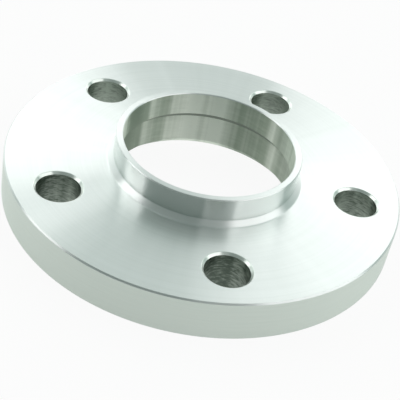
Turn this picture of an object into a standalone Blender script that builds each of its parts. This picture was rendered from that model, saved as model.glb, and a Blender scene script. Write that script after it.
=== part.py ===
"""Hub-centric wheel spacer: one aluminium ring, turned and then drilled.

The origin is the centre of the back face, which sits on the hub. +Z runs along
the axis to the wheel, and +X passes through the first stud hole.
"""

import math

import bpy

MM = 0.001

# Driving dimensions
DISC_THICKNESS = 15.0 * MM
PITCH_CIRCLE_DIAMETER = 108.0 * MM
STUD_HOLE_COUNT = 5
STUD_HOLE_DIAMETER = 15.0 * MM
STUD_HOLE_CHAMFER = 0.8 * MM
RIM_WALL = 8.0 * MM             # metal outside the stud holes
RIM_CHAMFER = 0.5 * MM

CENTRE_BORE_DIAMETER = 65.1 * MM    # shared by the hub and the wheel
LEAD_CONE_HEIGHT = 3.0 * MM         # 45 degree mouth that guides the hub in
SHOULDER_DEPTH = 1.3 * MM           # hub recess ends this far under the front face

LIP_CLEARANCE = 0.1 * MM            # on the diameter, in the wheel's bore
LIP_WALL = 2.5 * MM
LIP_HEIGHT = 10.0 * MM
LIP_CHAMFER = 0.3 * MM
FOOT_CONE_HEIGHT = 1.7 * MM
FOOT_CONE_WIDTH = 1.9 * MM

CUTTER_OVERRUN = 1.0 * MM           # hole cutters pass both faces by this much

RING_STEPS = 180
HOLE_STEPS = 48
SHARP_ANGLE = math.radians(20.0)
MERGE_DISTANCE = 0.00001

# Worked out from the driving dimensions
PITCH_RADIUS = PITCH_CIRCLE_DIAMETER / 2
STUD_HOLE_RADIUS = STUD_HOLE_DIAMETER / 2
RIM_RADIUS = PITCH_RADIUS + STUD_HOLE_RADIUS + RIM_WALL
RECESS_RADIUS = CENTRE_BORE_DIAMETER / 2
RECESS_TOP = DISC_THICKNESS - SHOULDER_DEPTH
LIP_RADIUS = (CENTRE_BORE_DIAMETER - LIP_CLEARANCE) / 2
LIP_BORE_RADIUS = LIP_RADIUS - LIP_WALL
LIP_TOP = DISC_THICKNESS + LIP_HEIGHT


def clear_scene():
    for old in list(bpy.data.objects):
        bpy.data.objects.remove(old, do_unlink=True)


def new_collection(name):
    collection = bpy.data.collections.new(name)
    bpy.context.scene.collection.children.link(collection)
    return collection


def aluminium():
    """Bare turned aluminium: pale, slightly green-grey, satin."""
    material = bpy.data.materials.new("turned_aluminium")
    material.use_nodes = True
    shader = material.node_tree.nodes["Principled BSDF"]
    shader.inputs["Base Color"].default_value = (0.64, 0.67, 0.65, 1.0)
    shader.inputs["Metallic"].default_value = 1.0
    shader.inputs["Roughness"].default_value = 0.35
    return material


def turned(name, profile, closed, steps, collection):
    """An (r, z) profile swept round Z by a Screw modifier."""
    count = len(profile)
    edges = [(i, i + 1) for i in range(count - 1)]
    if closed:
        edges.append((count - 1, 0))
    mesh = bpy.data.meshes.new(name)
    mesh.from_pydata([(r, 0.0, z) for r, z in profile], edges, [])
    part = bpy.data.objects.new(name, mesh)
    collection.objects.link(part)

    screw = part.modifiers.new("turn", "SCREW")
    screw.axis = "Z"
    screw.angle = math.tau
    screw.steps = steps
    screw.render_steps = steps
    screw.use_merge_vertices = True
    screw.merge_threshold = MERGE_DISTANCE
    return part


def ring_profile():
    """The half section, down the outside from the lip and up through the bore."""
    outside = [
        (LIP_BORE_RADIUS + LIP_CHAMFER, LIP_TOP),
        (LIP_RADIUS - LIP_CHAMFER, LIP_TOP),
        (LIP_RADIUS, LIP_TOP - LIP_CHAMFER),
        (LIP_RADIUS, DISC_THICKNESS + FOOT_CONE_HEIGHT),
        (LIP_RADIUS + FOOT_CONE_WIDTH, DISC_THICKNESS),
        (RIM_RADIUS - RIM_CHAMFER, DISC_THICKNESS),
        (RIM_RADIUS, DISC_THICKNESS - RIM_CHAMFER),
        (RIM_RADIUS, RIM_CHAMFER),
        (RIM_RADIUS - RIM_CHAMFER, 0.0),
    ]
    shoulder_height = RECESS_RADIUS - LIP_BORE_RADIUS    # 45 degrees
    inside = [
        (RECESS_RADIUS + LEAD_CONE_HEIGHT, 0.0),
        (RECESS_RADIUS, LEAD_CONE_HEIGHT),
        (RECESS_RADIUS, RECESS_TOP),
        (LIP_BORE_RADIUS, RECESS_TOP + shoulder_height),
        (LIP_BORE_RADIUS, LIP_TOP - LIP_CHAMFER),
    ]
    return outside + inside


def stud_hole_profile():
    """A drill with a 45 degree countersink at each end, past both faces."""
    mouth_radius = STUD_HOLE_RADIUS + STUD_HOLE_CHAMFER + CUTTER_OVERRUN
    top = DISC_THICKNESS + CUTTER_OVERRUN
    bottom = -CUTTER_OVERRUN
    return [
        (0.0, top),
        (mouth_radius, top),
        (STUD_HOLE_RADIUS, DISC_THICKNESS - STUD_HOLE_CHAMFER),
        (STUD_HOLE_RADIUS, STUD_HOLE_CHAMFER),
        (mouth_radius, bottom),
        (0.0, bottom),
    ]


def stud_hole_cutters(collection):
    """One turned cutter for each stud hole, sharing a single profile mesh."""
    first = turned("stud_hole_cutter_1", stud_hole_profile(), False, HOLE_STEPS, collection)
    cutters = [first]
    for number in range(2, STUD_HOLE_COUNT + 1):
        copy = first.copy()
        copy.name = f"stud_hole_cutter_{number}"
        collection.objects.link(copy)
        cutters.append(copy)
    for index, cutter in enumerate(cutters):
        angle = math.tau * index / STUD_HOLE_COUNT
        cutter.location = (PITCH_RADIUS * math.cos(angle), PITCH_RADIUS * math.sin(angle), 0.0)
        cutter.rotation_euler = (0.0, 0.0, angle)
        cutter.hide_render = True
        cutter.display_type = "WIRE"
    return cutters


def drill(part, cutters):
    for cutter in cutters:
        cut = part.modifiers.new(cutter.name, "BOOLEAN")
        cut.operation = "DIFFERENCE"
        cut.solver = "EXACT"
        cut.object = cutter


def apply_and_shade(part):
    """Turn the modifiers into a mesh with smooth round walls and crisp edges."""
    graph = bpy.context.evaluated_depsgraph_get()
    mesh = bpy.data.meshes.new_from_object(part.evaluated_get(graph))
    mesh.name = part.name
    part.modifiers.clear()
    part.data = mesh
    mesh.shade_smooth()
    mesh.set_sharp_from_angle(angle=SHARP_ANGLE)


def build():
    clear_scene()
    parts = new_collection("wheel_spacer")
    tools = new_collection("cutters")
    spacer = turned("wheel_spacer", ring_profile(), True, RING_STEPS, parts)
    drill(spacer, stud_hole_cutters(tools))
    apply_and_shade(spacer)
    spacer.data.materials.append(aluminium())


build()
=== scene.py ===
"""Looks for the wheel spacer: one aluminium ring, turned and drilled, on a pale table."""

import math

import bpy
from mathutils import Matrix, Quaternion, Vector


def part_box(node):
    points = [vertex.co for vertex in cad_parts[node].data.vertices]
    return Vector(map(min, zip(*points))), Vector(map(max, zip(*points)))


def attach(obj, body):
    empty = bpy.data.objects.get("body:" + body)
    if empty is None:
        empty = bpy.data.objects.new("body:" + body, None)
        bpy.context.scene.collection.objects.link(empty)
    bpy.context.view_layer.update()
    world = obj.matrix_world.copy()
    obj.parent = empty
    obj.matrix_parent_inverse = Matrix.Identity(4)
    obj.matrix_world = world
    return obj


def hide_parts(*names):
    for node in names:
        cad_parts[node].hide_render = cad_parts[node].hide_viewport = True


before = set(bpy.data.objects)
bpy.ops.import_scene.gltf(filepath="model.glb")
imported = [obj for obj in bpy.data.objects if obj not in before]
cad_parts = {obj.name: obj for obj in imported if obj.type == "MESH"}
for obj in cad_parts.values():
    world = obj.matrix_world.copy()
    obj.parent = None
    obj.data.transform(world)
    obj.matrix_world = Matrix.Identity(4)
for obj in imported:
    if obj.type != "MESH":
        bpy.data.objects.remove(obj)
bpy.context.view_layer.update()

MM = 0.001

# Sizes of the ring, as in the solid
NODE = "wheel_spacer"
DISC_THICKNESS = 15.0 * MM
LIP_CHAMFER = 0.3 * MM
LIP_WALL = 2.5 * MM
LIP_RADIUS = 32.5 * MM
FOOT_CONE_HEIGHT = 1.7 * MM
FOOT_CONE_WIDTH = 1.9 * MM
RIM_CHAMFER = 0.5 * MM
RECESS_RADIUS = 32.55 * MM
LEAD_CONE_HEIGHT = 3.0 * MM
SHOULDER_DEPTH = 1.3 * MM
PITCH_RADIUS = 54.0 * MM
STUD_HOLE_COUNT = 5
STUD_HOLE_RADIUS = 7.5 * MM
STUD_HOLE_CHAMFER = 0.8 * MM

# Forms too small for the solid
EDGE_BREAK = 0.10 * MM          # a deburred corner
TOOL_NOSE_RADIUS = 1.2 * MM     # left where the foot of the lip runs out on the face
BREAK_INSET = EDGE_BREAK * 0.7  # how far down a countersink, and how far in, its edge is broken
BREAK_SLOPE = 0.414             # rise over run of that broken edge, at half of 45 degrees

# Meshing
RING_STEPS = 360
HOLE_STEPS = 120
ARC_STEPS = 3                   # fewest in a rounded corner
SMOOTH_BELOW = math.radians(6.0)
CUTTER_OVERRUN = 1.0 * MM
MERGE_DISTANCE = 0.005 * MM
UPRIGHT_BELOW = 0.1             # a wall's normal has less height than this
LEVEL_ABOVE = 0.95              # a level face's normal has more

# Noise in the finishes
ACROSS_THE_CUT = 0.25           # a quarter turn: glints stretch across the tool marks
NOISE_PER_METRE = 100.0         # from one hole's place in the noise to the next
NOISE_MIDDLE = 0.5
STREAK_DETAIL = 3.0
STREAK_ROUGHNESS = 0.6
CHATTER_DETAIL = 4.0

# Table and walls
TABLE_SIZE = 6.0
TABLE_GAP = 0.2 * MM            # keeps the paper clear of the ring's back face
PAPER_ROUGHNESS = 0.9
WHITE_TO_CAMERA = 0.92          # the rest of the paper is lit, and keeps the shadow
WHITE_IN_METAL = 0.62
WALL_LEVEL_NEAR = 0.15
WALL_LEVEL_FAR = 0.95
WALL_NEAR_END = -0.9            # how far back a wall lies, from -1 at the camera's side to 1
WALL_FAR_END = 0.8
WALL_FALL_OFF = 3.0
BACKDROP_LEVEL = 0.96           # the wall as the camera sees it

# Softboxes
SOFTBOX_DISTANCE = 1.5          # metres from the ring
AREA_LAMP_WATTS = 4.0           # watts for each square metre at level 1

# Name; in degrees, its middle's angle round from +X and up, width, height and lean; level
SOFTBOXES = [
    ("softbox_back_left", 125, 20, 38, 44, 0, 0.62),
    ("softbox_back_right", 72, 28, 30, 56, 3, 0.58),
    ("softbox_right", 354, 36, 52, 42, -28, 1.12),
    ("softbox_left_strip", 184, 38, 26, 42, 32, 1.3),
    ("softbox_left_low", 155, 26, 24, 42, 0, 0.48),
    ("softbox_front_left", 240, 52, 60, 34, 0, 0.2),
    ("softbox_front_right", 304.5, 38, 34, 58, -17, 0.28),
    ("softbox_above", 98, 76, 34, 26, 0, 0.45),
    ("softbox_thin_back", 134, 51, 20, 4, 6, 1.7),
]

# Camera, fitted to the photograph's outlines
CAMERA_AZIMUTH = math.radians(3.59)
CAMERA_ELEVATION = 0.6503
CAMERA_ROLL = 0.2059
CAMERA_DISTANCE = 369.65 * MM
FOCAL_PIXELS = 1030.8
PRINCIPAL_X_PIXELS = -1.61      # right of the picture's middle
PRINCIPAL_Y_PIXELS = -1.87      # below it
PICTURE_PIXELS = 400
SENSOR_MM = 36.0


def linear(hex_colour):
    """An sRGB hex colour as linear RGBA."""
    levels = [int(hex_colour[i:i + 2], 16) / 255 for i in (1, 3, 5)]
    bent = [c / 12.92 if c <= 0.04045 else ((c + 0.055) / 1.055) ** 2.4 for c in levels]
    return (*bent, 1.0)


def add(tree, kind, inputs=None, **settings):
    """A node of one kind, with its settings, and a value or a link for each input."""
    node = tree.nodes.new(kind)
    for name, value in settings.items():
        setattr(node, name, value)
    for name, value in (inputs or {}).items():
        if isinstance(value, bpy.types.NodeSocket):
            tree.links.new(value, node.inputs[name])
        else:
            node.inputs[name].default_value = value
    return node


def rounded(corners):
    """A closed outline from (r, z, radius) corners, each replaced by an arc of its radius."""
    out = []
    for i, (r, z, radius) in enumerate(corners):
        here = Vector((r, z))
        before = Vector(corners[i - 1][:2]) - here
        after = Vector(corners[(i + 1) % len(corners)][:2]) - here
        turn = math.pi - before.angle(after)
        cut = radius * math.tan(turn / 2)
        start = here + before.normalized() * cut
        end = here + after.normalized() * cut
        steps = max(ARC_STEPS, round(radius / EDGE_BREAK))
        for step in range(steps + 1):
            way = step / steps
            point = start * (1 - way) ** 2 + here * 2 * way * (1 - way) + end * way ** 2
            out.append((point.x, point.y))
    return out


def turned(name, profile, closed, steps):
    """An (r, z) profile swept round Z by a Screw modifier."""
    count = len(profile)
    edges = [(i, i + 1) for i in range(count - 1)]
    if closed:
        edges.append((count - 1, 0))
    mesh = bpy.data.meshes.new(name)
    mesh.from_pydata([(r, 0.0, z) for r, z in profile], edges, [])
    piece = bpy.data.objects.new(name, mesh)
    bpy.context.scene.collection.objects.link(piece)
    screw = piece.modifiers.new("turn", "SCREW")
    screw.axis = "Z"
    screw.angle = math.tau
    screw.steps = steps
    screw.render_steps = steps
    screw.use_merge_vertices = True
    screw.merge_threshold = MERGE_DISTANCE
    return piece


def ring_profile():
    """The half section as (r, z, corner radius), down the outside and up through the bore."""
    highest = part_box(NODE)[1]
    rim_radius = highest.x
    top = highest.z
    bore_radius = LIP_RADIUS - LIP_WALL
    recess_top = DISC_THICKNESS - SHOULDER_DEPTH
    crisp = EDGE_BREAK
    return [
        (bore_radius + LIP_CHAMFER, top, crisp),
        (LIP_RADIUS - LIP_CHAMFER, top, crisp),
        (LIP_RADIUS, top - LIP_CHAMFER, crisp),
        (LIP_RADIUS, DISC_THICKNESS + FOOT_CONE_HEIGHT, crisp),
        (LIP_RADIUS + FOOT_CONE_WIDTH, DISC_THICKNESS, TOOL_NOSE_RADIUS),
        (rim_radius - RIM_CHAMFER, DISC_THICKNESS, crisp),
        (rim_radius, DISC_THICKNESS - RIM_CHAMFER, crisp),
        (rim_radius, RIM_CHAMFER, crisp),
        (rim_radius - RIM_CHAMFER, 0.0, crisp),
        (RECESS_RADIUS + LEAD_CONE_HEIGHT, 0.0, crisp),
        (RECESS_RADIUS, LEAD_CONE_HEIGHT, crisp),
        (RECESS_RADIUS, recess_top, crisp),
        (bore_radius, recess_top + RECESS_RADIUS - bore_radius, crisp),
        (bore_radius, top - LIP_CHAMFER, crisp),
    ]


def hole_profile():
    """A drilled hole, with a 45 degree countersink and a flatter broken edge at each mouth."""
    over = CUTTER_OVERRUN
    mouth = STUD_HOLE_RADIUS + STUD_HOLE_CHAMFER
    upper = [
        (mouth + EDGE_BREAK + over / BREAK_SLOPE, DISC_THICKNESS + over),
        (mouth - BREAK_INSET, DISC_THICKNESS - BREAK_INSET),
        (STUD_HOLE_RADIUS, DISC_THICKNESS - STUD_HOLE_CHAMFER),
    ]
    lower = [(r, DISC_THICKNESS - z) for r, z in reversed(upper)]
    return [(0.0, DISC_THICKNESS + over)] + upper + lower + [(0.0, -over)]


def hole_centre(index):
    """Where the axis of one stud hole meets the back face."""
    angle = math.tau * index / STUD_HOLE_COUNT
    return Vector((PITCH_RADIUS * math.cos(angle), PITCH_RADIUS * math.sin(angle), 0.0))


def machined_ring():
    """The ring at full smoothness, with broken edges, in the solid's place."""
    ring = turned("machined_ring", rounded(ring_profile()), True, RING_STEPS)
    cutters = []
    for index in range(STUD_HOLE_COUNT):
        cutter = turned(f"drill_{index}", hole_profile(), False, HOLE_STEPS)
        cutter.location = hole_centre(index)
        cut = ring.modifiers.new(cutter.name, "BOOLEAN")
        cut.operation = "DIFFERENCE"
        cut.solver = "EXACT"
        cut.object = cutter
        cutters.append(cutter)
    graph = bpy.context.evaluated_depsgraph_get()
    mesh = bpy.data.meshes.new_from_object(ring.evaluated_get(graph))
    ring.modifiers.clear()
    ring.data = mesh
    mesh.name = ring.name
    for cutter in cutters:
        bpy.data.objects.remove(cutter, do_unlink=True)
    mesh.shade_smooth()
    mesh.set_sharp_from_angle(angle=SMOOTH_BELOW)
    return ring


def region_of(centre, normal):
    """The cut that made this stretch of surface, by its place and slope."""
    if abs(normal.z) > LEVEL_ABOVE:
        return "faced"
    upright = abs(normal.z) < UPRIGHT_BELOW
    mouth = STUD_HOLE_RADIUS + STUD_HOLE_CHAMFER + 2 * EDGE_BREAK
    for index in range(STUD_HOLE_COUNT):
        if (centre - hole_centre(index)).xy.length < mouth:
            return "drilled" if upright else "countersunk"
    above_the_foot = centre.z > DISC_THICKNESS + FOOT_CONE_HEIGHT * 2
    if above_the_foot and not upright:
        return "chamfered"
    if normal.xy.dot(centre.xy) < 0:
        above_the_mouth = centre.z > LEAD_CONE_HEIGHT * 2
        return "shoulder" if above_the_mouth and normal.z < -UPRIGHT_BELOW else "bore"
    if centre.xy.length > PITCH_RADIUS:
        return "rim" if upright else "chamfered"
    return "lip" if upright else "foot"


def give_finishes(ring):
    """A finish for every face, and the axis that its cut was turned about."""
    mesh = ring.data
    regions = list(FINISHES)
    for name in regions:
        mesh.materials.append(FINISHES[name]())
    axis = mesh.attributes.new("tool_axis", "FLOAT_VECTOR", "FACE")
    for face in mesh.polygons:
        region = region_of(face.center, face.normal)
        face.material_index = regions.index(region)
        centre = Vector((0.0, 0.0, 0.0))
        if region in ("drilled", "countersunk"):
            turn = math.atan2(face.center.y, face.center.x) / math.tau
            centre = hole_centre(round(turn * STUD_HOLE_COUNT))
        axis.data[face.index].vector = centre


def machined_aluminium(name, pale, dark, roughness, anisotropy, marks):
    """Bare aluminium with the streaks of a turning tool or drill.

    marks: across, the way the tool moved, "radius" or "height"; spacing in mm; reach, how often a
    streak changes on the way round; depth in mm; contrast, where the colours meet; bands, how many
    soft chatter bands go round; chatter, their share beside the streaks; start, this finish's
    place in the noise.
    """
    material = bpy.data.materials.new(name)
    material.use_nodes = True
    tree = material.node_tree
    shader = tree.nodes["Principled BSDF"]
    shader.inputs["Metallic"].default_value = 1.0
    shader.inputs["Anisotropic"].default_value = anisotropy
    shader.inputs["Anisotropic Rotation"].default_value = ACROSS_THE_CUT

    # The cut's own frame: the way out from its axis, the way round it, and the way the tool moved
    where = add(tree, "ShaderNodeTexCoord").outputs["Object"]
    axis = add(tree, "ShaderNodeAttribute", attribute_name="tool_axis").outputs["Vector"]
    arm = add(tree, "ShaderNodeVectorMath", {0: where, 1: axis}, operation="SUBTRACT").outputs[0]
    flat = add(tree, "ShaderNodeVectorMath", {0: arm, 1: (1, 1, 0)},
               operation="MULTIPLY").outputs[0]
    out = add(tree, "ShaderNodeVectorMath", {0: flat}, operation="NORMALIZE").outputs[0]
    way_round = add(tree, "ShaderNodeVectorMath", {0: (0, 0, 1), 1: out},
                    operation="CROSS_PRODUCT").outputs[0]
    tree.links.new(way_round, shader.inputs["Tangent"])
    radius = add(tree, "ShaderNodeVectorMath", {0: flat}, operation="LENGTH").outputs["Value"]
    height = add(tree, "ShaderNodeSeparateXYZ", {0: where}).outputs["Z"]
    across = radius if marks["across"] == "radius" else height

    # Each hole starts elsewhere in the noise, so no two holes have the same marks
    start = add(tree, "ShaderNodeVectorMath",
                {0: axis, 1: (NOISE_PER_METRE,) * 3, 2: (0, 0, marks["start"])},
                operation="MULTIPLY_ADD").outputs[0]

    # Streaks: long on the way round, one mark wide across it
    lines = add(tree, "ShaderNodeMath", {0: across, 1: 1 / (marks["spacing"] * MM)},
                operation="MULTIPLY").outputs[0]
    lines = add(tree, "ShaderNodeCombineXYZ", {"Z": lines}).outputs[0]
    place = add(tree, "ShaderNodeVectorMath", {0: out, 1: (marks["reach"],) * 3, 2: start},
                operation="MULTIPLY_ADD").outputs[0]
    place = add(tree, "ShaderNodeVectorMath", {0: place, 1: lines}, operation="ADD").outputs[0]
    streaks = add(tree, "ShaderNodeTexNoise",
                  {"Vector": place, "Scale": 1.0, "Detail": STREAK_DETAIL,
                   "Roughness": STREAK_ROUGHNESS}).outputs["Fac"]

    # Chatter: soft bands along the tool's way. In the bore they carry painted reflection stripes
    turn = add(tree, "ShaderNodeVectorMath",
               {0: out, 1: (marks["bands"] / math.tau,) * 3, 2: start},
               operation="MULTIPLY_ADD").outputs[0]
    bands = add(tree, "ShaderNodeTexNoise",
                {"Vector": turn, "Scale": 1.0, "Detail": CHATTER_DETAIL}).outputs["Fac"]

    both = add(tree, "ShaderNodeMix",
               {"Factor": marks["chatter"], "A": streaks, "B": bands}).outputs["Result"]
    spread = add(tree, "ShaderNodeMapRange",
                 {"Value": both, "From Min": NOISE_MIDDLE - marks["contrast"],
                  "From Max": NOISE_MIDDLE + marks["contrast"]}).outputs["Result"]
    colour = add(tree, "ShaderNodeMix", {"Factor": spread, "A": linear(dark), "B": linear(pale)},
                 data_type="RGBA").outputs["Result"]
    tree.links.new(colour, shader.inputs["Base Color"])
    smooth, rough = roughness
    gloss = add(tree, "ShaderNodeMapRange",
                {"Value": spread, "To Min": smooth, "To Max": rough}).outputs["Result"]
    tree.links.new(gloss, shader.inputs["Roughness"])
    relief = add(tree, "ShaderNodeBump",
                 {"Height": both, "Distance": marks["depth"] * MM, "Strength": 1.0})
    tree.links.new(relief.outputs["Normal"], shader.inputs["Normal"])
    return material


def faced():
    """Face-turned aluminium. Fine rings stretch each light into a soft fan from the axis."""
    # A facing cut moves 0.1 to 0.2 mm a turn. It is drawn at 0.8 mm so that a ring can show.
    marks = {"across": "radius", "spacing": 0.8, "reach": 0.6, "depth": 0.006, "contrast": 0.3,
             "bands": 60, "start": 0.0, "chatter": 0.5}
    return machined_aluminium("faced_aluminium", pale="#e9eeec", dark="#d9dfdc",
                              roughness=(0.27, 0.30), anisotropy=0.92, marks=marks)


def rim():
    """Turned aluminium with a satin rim, pale grey and a little green beside the white paper."""
    # A roughing cut moves about 0.3 mm a turn. It is drawn at 0.7 mm.
    marks = {"across": "height", "spacing": 0.7, "reach": 3.0, "depth": 0.006, "contrast": 0.4,
             "bands": 14, "start": 0.0, "chatter": 0.4}
    return machined_aluminium("rim_turned_aluminium", pale="#e1e9e2", dark="#d5dfd7",
                              roughness=(0.42, 0.48), anisotropy=0.7, marks=marks)


def lip():
    """Finish-turned aluminium, a near mirror along the cut, so the room shows in upright stripes."""
    # A finishing cut moves about 0.1 mm a turn. It is drawn at 0.9 mm, and barely shows.
    marks = {"across": "height", "spacing": 0.9, "reach": 2.0, "depth": 0.0015, "contrast": 0.5,
             "bands": 10, "start": 0.0, "chatter": 0.3}
    return machined_aluminium("lip_turned_aluminium", pale="#eff3f1", dark="#e4e9e6",
                              roughness=(0.20, 0.23), anisotropy=1.0, marks=marks)


def foot():
    """Form-turned aluminium at the foot of the lip, softer than the lip, so it blends into the face."""
    # A form tool cuts the whole width at once, and only scores it. Scores are drawn at 0.5 mm.
    marks = {"across": "height", "spacing": 0.5, "reach": 3.0, "depth": 0.001, "contrast": 0.5,
             "bands": 12, "start": 0.0, "chatter": 0.3}
    return machined_aluminium("form_turned_aluminium", pale="#e3e8e6", dark="#d8dedb",
                              roughness=(0.30, 0.34), anisotropy=0.85, marks=marks)


def bore():
    """Bored aluminium. The tool leaves faint level streaks, and soft chatter bands are painted pale and
    dark as reflection stripes.
    """
    # A boring cut moves about 0.2 mm a turn. It is drawn at 1.2 mm, in groups of turns.
    marks = {"across": "height", "spacing": 1.2, "reach": 4.0, "depth": 0.004, "contrast": 0.12,
             "bands": 22, "start": 8.25, "chatter": 0.90}
    # Pale and dark lie far apart to paint reflected light as bright and dark upright stripes; the start
    # sets where they stand round the bore
    return machined_aluminium("bored_aluminium", pale="#f2faef", dark="#a0ae9e",
                              roughness=(0.42, 0.48), anisotropy=1.0, marks=marks)


def shoulder():
    """Rough-bored aluminium in the corner of the hub recess, where the finish cut doesn't reach. Its
    dark colour is painted shade under the ledge.
    """
    # A rough cut moves about 0.3 mm a turn. It is drawn at 1 mm.
    marks = {"across": "height", "spacing": 1.0, "reach": 4.0, "depth": 0.004, "contrast": 0.3,
             "bands": 20, "start": 0.0, "chatter": 0.5}
    # Both colours are dark: they paint the shade that falls under the ledge
    return machined_aluminium("rough_bored_aluminium_painted_shade", pale="#8f988f", dark="#747d74",
                              roughness=(0.38, 0.44), anisotropy=1.0, marks=marks)


def chamfered():
    """Form-cut aluminium chamfers, smoother than the cuts beside them, so they glint or go dark."""
    # Scored like the foot of the lip, and drawn at the same 0.5 mm.
    marks = {"across": "height", "spacing": 0.5, "reach": 3.0, "depth": 0.001, "contrast": 0.5,
             "bands": 12, "start": 0.0, "chatter": 0.3}
    return machined_aluminium("chamfered_aluminium", pale="#e6ebe9", dark="#d8dedb",
                              roughness=(0.32, 0.36), anisotropy=0.85, marks=marks)


def drilled():
    """Drilled aluminium, torn and scored on the way round by the chips. Its dark colour is painted
    shade, so the hole looks dark.
    """
    # Scores are 0.05 to 0.3 mm apart. They are drawn at 0.6 mm.
    marks = {"across": "height", "spacing": 0.6, "reach": 3.2, "depth": 0.04, "contrast": 0.10,
             "bands": 5, "start": 726.75, "chatter": 0.55}
    # The dark colour paints the shade inside the hole; five broad bands, set by the start, make parts
    # of each wall lighter and darker
    return machined_aluminium("drilled_aluminium", pale="#c3cec3", dark="#5e6a60",
                              roughness=(0.34, 0.5), anisotropy=0.5, marks=marks)


def countersunk():
    """Countersunk aluminium. The sharp 45 degree cone glints at its sides."""
    # A countersink leaves a few broad waves and fine rings. The rings are drawn at 0.5 mm.
    marks = {"across": "height", "spacing": 0.5, "reach": 2.0, "depth": 0.001, "contrast": 0.4,
             "bands": 7, "start": 0.0, "chatter": 0.5}
    return machined_aluminium("countersunk_aluminium", pale="#eef5ef", dark="#dae3dc",
                              roughness=(0.28, 0.34), anisotropy=0.8, marks=marks)


FINISHES = {
    "faced": faced,
    "rim": rim,
    "lip": lip,
    "foot": foot,
    "bore": bore,
    "shoulder": shoulder,
    "chamfered": chamfered,
    "drilled": drilled,
    "countersunk": countersunk,
}


def table():
    """A pale matt paper table top, white to the camera, with the ring's shadow."""
    bpy.ops.mesh.primitive_plane_add(size=TABLE_SIZE, location=(0.0, 0.0, -TABLE_GAP))
    top = bpy.context.object
    top.name = "table_top"
    material = bpy.data.materials.new("white_paper")
    material.use_nodes = True
    tree = material.node_tree
    shader = tree.nodes["Principled BSDF"]
    shader.inputs["Base Color"].default_value = linear("#f2f4f2")
    shader.inputs["Roughness"].default_value = PAPER_ROUGHNESS
    shader.inputs["Specular IOR Level"].default_value = 0.0
    path = add(tree, "ShaderNodeLightPath").outputs
    mirrored = add(tree, "ShaderNodeMath",
                   {0: path["Is Glossy Ray"], 1: path["Is Transmission Ray"]},
                   operation="MAXIMUM").outputs[0]
    mirrored = add(tree, "ShaderNodeMath", {0: mirrored, 1: WHITE_IN_METAL},
                   operation="MULTIPLY").outputs[0]
    seen = add(tree, "ShaderNodeMath", {0: path["Is Camera Ray"], 1: WHITE_TO_CAMERA},
               operation="MULTIPLY").outputs[0]
    share = add(tree, "ShaderNodeMath", {0: seen, 1: mirrored}, operation="MAXIMUM").outputs[0]
    white = add(tree, "ShaderNodeEmission", {"Color": linear("#ffffff"), "Strength": 1.0}).outputs[0]
    mixed = add(tree, "ShaderNodeMixShader", {0: share, 1: shader.outputs[0], 2: white})
    tree.links.new(mixed.outputs[0], tree.nodes["Material Output"].inputs["Surface"])
    top.data.materials.append(material)


def softbox(name, azimuth, elevation, width, height, lean, level):
    """A rectangular soft lamp that faces the ring. At level 1 it mirrors as bright as white paper."""
    lamp = bpy.data.lights.new(name, "AREA")
    lamp.shape = "RECTANGLE"
    lamp.size = 2 * SOFTBOX_DISTANCE * math.tan(math.radians(width / 2))
    lamp.size_y = 2 * SOFTBOX_DISTANCE * math.tan(math.radians(height / 2))
    lamp.color = linear("#fff9fb")[:3]
    lamp.energy = level * AREA_LAMP_WATTS * lamp.size * lamp.size_y
    bearing, rise = math.radians(azimuth), math.radians(elevation)
    toward = Vector((math.cos(bearing) * math.cos(rise), math.sin(bearing) * math.cos(rise),
                     math.sin(rise)))
    stand = bpy.data.objects.new(name, lamp)
    stand.location = toward * SOFTBOX_DISTANCE
    upright = toward.to_track_quat("Z", "Y")
    stand.rotation_euler = (upright @ Quaternion((0, 0, 1), math.radians(lean))).to_euler()
    stand.visible_camera = False
    bpy.context.scene.collection.objects.link(stand)


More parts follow.
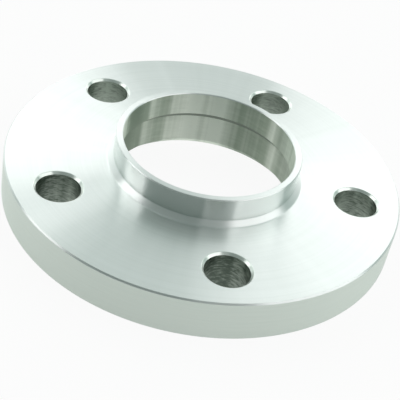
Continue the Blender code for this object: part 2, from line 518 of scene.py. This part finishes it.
def studio():
    """Walls that pale from the camera's side to the far side, and softboxes around the ring.

    The wide ones give the lip its stripes. The thin one at the back draws the bright fan on the face.
    """
    world = bpy.data.worlds.new("studio")
    bpy.context.scene.world = world
    world.use_nodes = True
    tree = world.node_tree
    shader = tree.nodes["Background"]
    toward = add(tree, "ShaderNodeTexCoord").outputs["Generated"]
    depth = add(tree, "ShaderNodeSeparateXYZ", {0: toward}).outputs["Y"]
    far = add(tree, "ShaderNodeMapRange",
              {"Value": depth, "From Min": WALL_NEAR_END, "From Max": WALL_FAR_END}).outputs[0]
    far = add(tree, "ShaderNodeMath", {0: far, 1: WALL_FALL_OFF}, operation="POWER").outputs[0]
    level = add(tree, "ShaderNodeMapRange",
                {"Value": far, "To Min": WALL_LEVEL_NEAR, "To Max": WALL_LEVEL_FAR}).outputs[0]
    paint = add(tree, "ShaderNodeMix",
                {"Factor": far, "A": linear("#b6e2d5"), "B": linear("#f4faf8")},
                data_type="RGBA").outputs["Result"]
    tree.links.new(paint, shader.inputs["Color"])
    tree.links.new(level, shader.inputs["Strength"])

    # The camera itself sees a plain white wall
    seen = add(tree, "ShaderNodeLightPath").outputs["Is Camera Ray"]
    plain = add(tree, "ShaderNodeBackground",
                {"Color": linear("#ffffff"), "Strength": BACKDROP_LEVEL}).outputs[0]
    mixed = add(tree, "ShaderNodeMixShader", {0: seen, 1: shader.outputs[0], 2: plain})
    tree.links.new(mixed.outputs[0], tree.nodes["World Output"].inputs["Surface"])
    for box in SOFTBOXES:
        softbox(*box)


def camera():
    """The photograph's view, rolled as the camera was held."""
    data = bpy.data.cameras.new("camera")
    data.sensor_width = SENSOR_MM
    data.lens = FOCAL_PIXELS * SENSOR_MM / PICTURE_PIXELS
    data.shift_x = -PRINCIPAL_X_PIXELS / PICTURE_PIXELS
    data.shift_y = PRINCIPAL_Y_PIXELS / PICTURE_PIXELS
    bearing, rise, roll = CAMERA_AZIMUTH, CAMERA_ELEVATION, CAMERA_ROLL
    back = Vector((math.sin(bearing) * math.cos(rise), -math.cos(bearing) * math.cos(rise),
                   math.sin(rise)))
    right = Vector((math.cos(bearing), math.sin(bearing), 0.0))
    up = back.cross(right)
    rolled_right = math.cos(roll) * right + math.sin(roll) * up
    rolled_up = math.cos(roll) * up - math.sin(roll) * right
    turn = Matrix((rolled_right, rolled_up, back)).transposed().to_4x4()
    shot = bpy.data.objects.new("camera", data)
    bpy.context.scene.collection.objects.link(shot)
    shot.matrix_world = Matrix.Translation(back * CAMERA_DISTANCE) @ turn
    bpy.context.scene.camera = shot


ring = machined_ring()
give_finishes(ring)
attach(ring, "root")
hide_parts(NODE)
table()
studio()
camera()
bpy.context.scene.view_settings.view_transform = "Standard"
